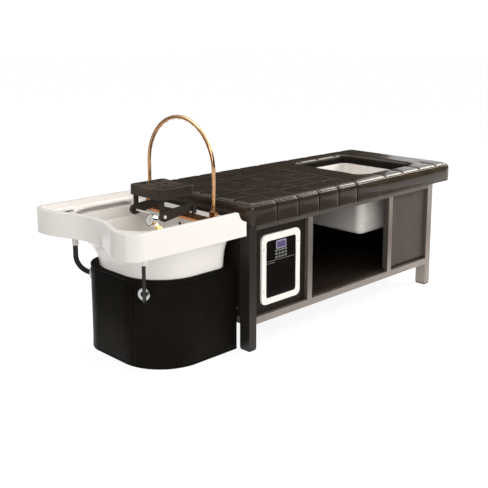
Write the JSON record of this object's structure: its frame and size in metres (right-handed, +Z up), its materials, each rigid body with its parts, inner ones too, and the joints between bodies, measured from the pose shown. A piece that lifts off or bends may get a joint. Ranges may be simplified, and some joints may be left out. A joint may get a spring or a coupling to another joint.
{
  "type": "hair washing bed",
  "caption": "Hair washing bed: upholstered couch on a steel frame with a sunken foot tub and storage bay, and a white basin on a padded drum with spray arch and neck rest.",
  "frame": {"origin": "on the floor, under the middle of the whole product", "axes": "+Z up, +X from the basin at the head end to the foot end, the control unit on the -Y side"},
  "size_m": [2.037, 0.667, 0.953],
  "materials": {
    "frame_paint": "satin",
    "panel_board": "matt laminate",
    "plywood": "raw",
    "black_leather": "semi-gloss",
    "white_gloss": "glossy",
    "black_plastic": "matt",
    "black_glass": "glossy",
    "display": "lit",
    "key_print": "satin",
    "grey_plastic": "matt",
    "steel": "brushed",
    "chrome": "polished",
    "copper": "polished copper",
    "brass": "polished",
    "white_plastic": "satin",
    "black_rubber": "matt"
  },
  "bodies": {
    "bed": {"arch_mounts": "copper", "back_panels": "panel_board", "basin": "white_gloss", "basin_drain": "steel", "bed_cushion": "black_leather", "bottom_cross_rails": "frame_paint", "bottom_rail_far": "frame_paint", "bottom_rail_near": "frame_paint", "circulation_pump": "black_plastic", "control_bezel": "white_gloss", "control_box": "grey_plastic", "control_display": "display", "control_glass": "black_glass", "control_keys": "key_print", "control_panel": "panel_board", "cushion_board": "plywood", "deck_cap": "white_gloss", "drum_leather": "black_leather", "drum_lid": "plywood", "drum_shell": "plywood", "end_panels": "panel_board", "far_hose": "black_rubber", "foot_drain": "steel", "foot_panel": "panel_board", "foot_tub": "white_gloss", "hose_fittings": "white_plastic", "hose_grommets": "steel", "joint_bolts": "steel", "leg_foot_far": "frame_paint", "leg_foot_near": "frame_paint", "leg_glides": "black_plastic", "leg_head_far": "frame_paint", "leg_head_near": "frame_paint", "near_hose": "black_rubber", "neck_brackets": "black_plastic", "partition": "panel_board", "posts_far": "frame_paint", "posts_near": "frame_paint", "power_inlet": "black_plastic", "shelf_board": "panel_board", "shower_guide": "brass", "spray_bar": "copper", "steam_heater": "steel", "top_cross_rails": "frame_paint", "top_rail_far": "frame_paint", "top_rail_near": "frame_paint", "waste_pipe": "grey_plastic", "water_tank": "grey_plastic"},
    "arch": {"spray_arch": "copper", "arch_collars": "copper"},
    "neck_arms": {"neck_arms": "black_plastic", "neck_pin": "chrome"},
    "neck_rest": {"neck_pad": "black_plastic", "neck_struts": "black_plastic"},
    "shower": {"shower_stem": "brass", "shower_head": "chrome", "shower_face": "white_plastic"},
    "strainer": {"basin_strainer": "steel"},
    "plug": {"foot_plug": "grey_plastic"}
  },
  "joints": [
    {"name": "arch_tilt", "type": "hinge", "parent": "bed", "child": "arch", "pos_m": [-0.5215, 0, 0.573], "axis": [0, 1, 0], "range_deg": [-60, 10]},
    {"name": "neck_lift", "type": "hinge", "parent": "bed", "child": "neck_arms", "pos_m": [-0.5395, 0, 0.59], "axis": [0, 1, 0], "range_deg": [0, 18]},
    {"name": "neck_tilt", "type": "hinge", "parent": "neck_arms", "child": "neck_rest", "pos_m": [-0.6875, 0, 0.571], "axis": [0, 1, 0], "range_deg": [-15, 8]},
    {"name": "shower_pull", "type": "slide", "parent": "bed", "child": "shower", "axis": [-0.2198, 0.604, 0.766], "range_m": [0, 0.08]},
    {"name": "strainer_lift", "type": "slide", "parent": "bed", "child": "strainer", "axis": [0, 0, 1], "range_m": [0, 0.06]},
    {"name": "foot_plug_lift", "type": "slide", "parent": "bed", "child": "plug", "axis": [0, 0, 1], "range_m": [0, 0.08]}
  ]
}
